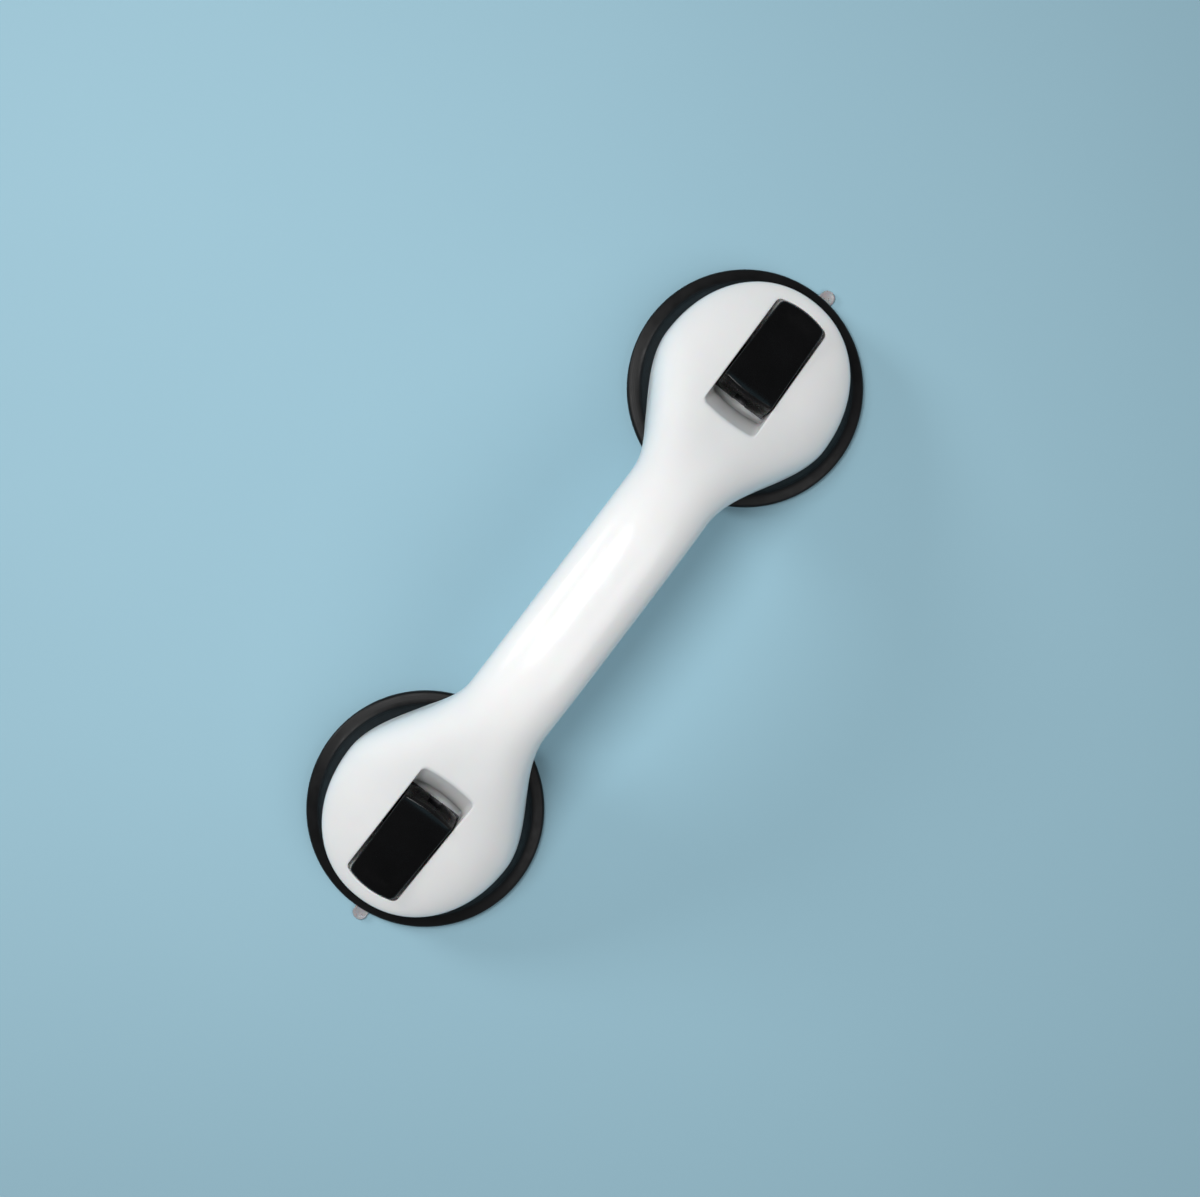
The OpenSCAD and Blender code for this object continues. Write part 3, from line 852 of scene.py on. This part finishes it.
def lever_under(u):
    """Height of the lever's underside, cam included."""
    u = max(u, UNDERSIDE[0][0])
    for a, b in zip(UNDERSIDE, UNDERSIDE[1:]):
        if u <= b[0]:
            return mix(a[1], b[1], (u - a[0]) / (b[0] - a[0]))
    return UNDERSIDE[-1][1]


def end_curve(u_end, half_w, r, way):
    """Half of one rounded end of the lever seen from above, from its middle to its side."""
    rise = half_w / END_ARC_R
    normal = Vector((way, rise)).normalized()
    y_edge = half_w - r * (1 - normal.y)
    points = []
    for i in range(11):
        y = y_edge * i / 10
        points.append((u_end - way * y * y / (2 * END_ARC_R), y))
    center = Vector(points[-1]) - r * normal
    first = math.degrees(math.atan2(normal.y, normal.x))
    points += arc(center.x, center.y, r, first, 90, 6)[1:]
    return points


def lever_outline(inset):
    """Half of the lever seen from above, from the middle of its hub's end to its tip."""
    hub = end_curve(-HUB_END + inset, LEVER_W / 2 - inset, max(1.0 - inset, 0.15), -1)
    tip = end_curve(ARM_END - inset, LEVER_W / 2 - TAPER - inset, max(2.5 - inset, 0.3), 1)
    tip.reverse()
    start, stop = hub[-1], tip[0]
    side = [(mix(start[0], stop[0], i / 60), mix(start[1], stop[1], i / 60)) for i in range(1, 60)]
    return hub + side + tip


def lever_round(u):
    """Radius of the round along the lever's upper edge."""
    return 0.8 + 0.6 * smooth((-5 - u) / 3) + 0.8 * smooth((u - 28) / 4)


def lever_body():
    """The lever without its slot and hollows, about its pin with the arm along +X."""
    outlines = {}

    def outline_point(i, inset):
        key = round(inset, 4)
        if key not in outlines:
            outlines[key] = lever_outline(key)
        return outlines[key][i]

    def leaned(u, y, z):
        """The hub's end leans over towards the arm above the pin, and the tip is undercut."""
        hub = 1 - smooth((u + HUB_END) / 7)
        tip = smooth((u - ARM_END + 6) / 5) * min(max(lever_top(u) - 1.6 - z, 0) / (TIP_T - 1.6), 1)
        return (u + HUB_LEAN * max(z, 0) * hub - TIP_UNDERCUT * tip, y, z)

    columns = []
    for i, (u, y) in enumerate(lever_outline(0)):
        r = lever_round(u)
        inner_u, inner_y = outline_point(i, r)
        column = [leaned(inner_u, inner_y * j / 9, lever_top(inner_u, inner_y * j / 9)) for j in range(9)]
        for a in (0, 18, 36, 54, 72, 90):
            a = math.radians(a)
            pu, py = outline_point(i, r * (1 - math.sin(a)))
            column.append(leaned(pu, py, lever_top(inner_u, inner_y) - r * (1 - math.cos(a))))
        low = lever_under(u)
        high = column[-1][2]
        column += [leaned(u, y, mix(high, low + 0.4, j / 5)) for j in range(1, 6)]
        for inset, rise in ((0.12, 0.12), (0.4, 0)):
            pu, py = outline_point(i, inset)
            column.append(leaned(pu, py, low + rise))
        last_u, last_y, last_z = column[-1]
        column += [(last_u, last_y * (1 - j / 6), last_z) for j in range(1, 7)]
        columns.append(column)
    return columns


def prism(points, y_from, y_to):
    """Closed solid with a profile in (u, z), from y_from to y_to."""
    bm = bmesh.new()
    near = [bm.verts.new(Vector((u, y_from, z)) * MM) for u, z in points]
    far = [bm.verts.new(Vector((u, y_to, z)) * MM) for u, z in points]
    n = len(points)
    bm.faces.new(near)
    bm.faces.new(far[::-1])
    for i in range(n):
        bm.faces.new((near[(i + 1) % n], near[i], far[i], far[(i + 1) % n]))
    bmesh.ops.recalc_face_normals(bm, faces=bm.faces)
    return bm


def cut(bm, cutters):
    """The solid bm less each solid in cutters."""
    def as_object(source, name):
        mesh = bpy.data.meshes.new(name)
        source.to_mesh(mesh)
        source.free()
        made = bpy.data.objects.new(name, mesh)
        bpy.context.collection.objects.link(made)
        return made

    body = as_object(bm, "body")
    tools = [as_object(cutter, "cutter") for cutter in cutters]
    for tool in tools:
        step = body.modifiers.new("cut", "BOOLEAN")
        step.operation = "DIFFERENCE"
        step.solver = "EXACT"
        step.object = tool
    graph = bpy.context.evaluated_depsgraph_get()
    result = bmesh.new()
    result.from_mesh(body.evaluated_get(graph).to_mesh())
    for made in (body, *tools):
        mesh = made.data
        bpy.data.objects.remove(made)
        bpy.data.meshes.remove(mesh)
    return result


def lever(side):
    bm = bmesh.new()
    columns = lever_body()
    add_grid(bm, columns, (0, 0, 1))
    bmesh.ops.remove_doubles(bm, verts=bm.verts, dist=3e-7)
    mirrored(bm, (1,))
    bmesh.ops.remove_doubles(bm, verts=bm.verts, dist=3e-7)
    bmesh.ops.dissolve_degenerate(bm, edges=bm.edges, dist=1e-7)
    bmesh.ops.recalc_face_normals(bm, faces=bm.faces)
    lean = LEVER_OPEN - 90
    roof = STUD_EYE_R / math.cos(math.radians(lean))
    slot = [(STUD_EYE_R, SLOT_LOW), (-SLOT_REACH, SLOT_LOW)]
    slot += [(-SLOT_REACH, roof + SLOT_REACH * HUB_LEAN), (0, roof)]
    slot += arc(0, 0, STUD_EYE_R, 90 - lean, 0, 10)
    hollow = [(HOLLOW_OUT, HOLLOW_LOW), (HOLLOW_IN, HOLLOW_LOW)]
    hollow += [(u, lever_top(u) - SKIN_T) for u in (mix(HOLLOW_IN, HOLLOW_OUT, i / 10) for i in range(11))]
    rib, hollow_end = RIB_T / 2, LEVER_W / 2 - TAPER - SKIN_T
    cutters = [prism(slot, -SLOT_W / 2, SLOT_W / 2)]
    cutters += [prism(hollow, *sorted((s * rib, s * hollow_end))) for s in (-1, 1)]
    cutters.append(prism(arc(0, 0, PIN_R, 0, 348.75, 31), -LEVER_W, LEVER_W))
    bm = cut(bm, cutters)
    way = SIDES[side]
    for v in bm.verts:
        v.co = Vector((way * (v.co.x + CUP_X * MM), v.co.y, v.co.z + PIN_Z * MM))
    if way < 0:
        bmesh.ops.reverse_faces(bm, faces=bm.faces)
    make_piece(f"{side}_lever_moulded", bm, BLACK, f"{side}_lever", [f"{side}_lever"], sharp=35)


for side in SIDES:
    lever(side)


# ---------------------------------------------------------------- parts kept from the CAD model

def refine(node, material, width, angle=30):
    """Gives a CAD part its material and softens its edges."""
    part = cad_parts[node]
    part.data.materials.clear()
    part.data.materials.append(material)
    part.data.polygons.foreach_set("use_smooth", [True] * len(part.data.polygons))
    part.data.polygons.foreach_set("material_index", [0] * len(part.data.polygons))
    weld = part.modifiers.new("weld", "WELD")
    weld.merge_threshold = 0.00001
    bevel = part.modifiers.new("soft_edges", "BEVEL")
    bevel.width = width * MM
    bevel.segments = 3
    bevel.limit_method = "ANGLE"
    bevel.angle_limit = math.radians(angle)
    bevel.harden_normals = True
    bevel.use_clamp_overlap = True


for side in SIDES:
    refine(f"{side}_lever_pin", ZINC, 0.3)
    refine(f"{side}_stud", ZINC, 0.3)
    refine(f"{side}_cam_plate", BLACKED, 0.15)
    refine(f"{side}_pad_core", NYLON, 0.3)
    refine(f"{side}_cup_screws", ZINC, 0.2)
refine("bar_screws", ZINC, 0.2)
refine("bar_screw_caps", WHITE, 0.4)


# ---------------------------------------------------------------- floor, light and camera

def floor_material():
    material, tree, shader = new_material("pale_floor", Roughness=0.85)
    coords = object_coords(tree)
    clouds = ramp(tree, noise(tree, coords, 3, 3), 0, 1)
    tint = color_between(tree, clouds, (0.315, 0.52, 0.62), (0.325, 0.535, 0.635))
    tree.links.new(tint, shader.inputs["Base Color"])
    return material


def studio():
    bm = bmesh.new()
    reach = 2500
    add_grid(bm, [[(x, y, 0) for y in (-reach, reach)] for x in (-reach, reach)], (0, 0, 1))
    mesh = bpy.data.meshes.new("floor")
    bm.to_mesh(mesh)
    bm.free()
    mesh.materials.append(floor_material())
    ground = bpy.data.objects.new("floor", mesh)
    bpy.context.collection.objects.link(ground)

    world = bpy.data.worlds.new("studio")
    world.use_nodes = True
    world.node_tree.nodes["Background"].inputs["Color"].default_value = (0.96, 0.98, 1.0, 1)
    world.node_tree.nodes["Background"].inputs["Strength"].default_value = 0.14
    bpy.context.scene.world = world

    def soft_light(name, at, size, power):
        data = bpy.data.lights.new(name, "AREA")
        data.shape = "DISK"
        data.size = size
        data.energy = power
        lamp = bpy.data.objects.new(name, data)
        lamp.location = at
        lamp.rotation_euler = (Vector((0, 0, 0.03)) - Vector(at)).to_track_quat("-Z", "Y").to_euler()
        bpy.context.collection.objects.link(lamp)

    soft_light("key", (0.0, 0.22, 0.74), 0.3, 3.5)
    soft_light("side", (-0.1, 1.15, 0.6), 0.4, 5)
    soft_light("fill", (0.0, -0.75, 1.1), 0.9, 3.8)


def camera():
    """Looks straight down at the bar, which runs up to the right across the picture."""
    distance = 0.65
    turn = math.radians(52.71)
    right = Vector((math.cos(turn), -math.sin(turn), 0))
    up = Vector((math.sin(turn), math.cos(turn), 0))
    aim = right * 0.0059
    place = aim + Vector((0, 0.045 * distance, distance))
    back = (place - aim).normalized()
    side = up.cross(back).normalized()
    level = back.cross(side)
    data = bpy.data.cameras.new("camera")
    data.sensor_width = 36
    data.lens = 49.0
    viewer = bpy.data.objects.new("camera", data)
    rotation = Matrix((side, level, back)).transposed()
    viewer.matrix_world = Matrix.Translation(place) @ rotation.to_4x4()
    bpy.context.collection.objects.link(viewer)
    bpy.context.scene.camera = viewer


studio()
camera()
bpy.context.scene.view_settings.view_transform = "Standard"
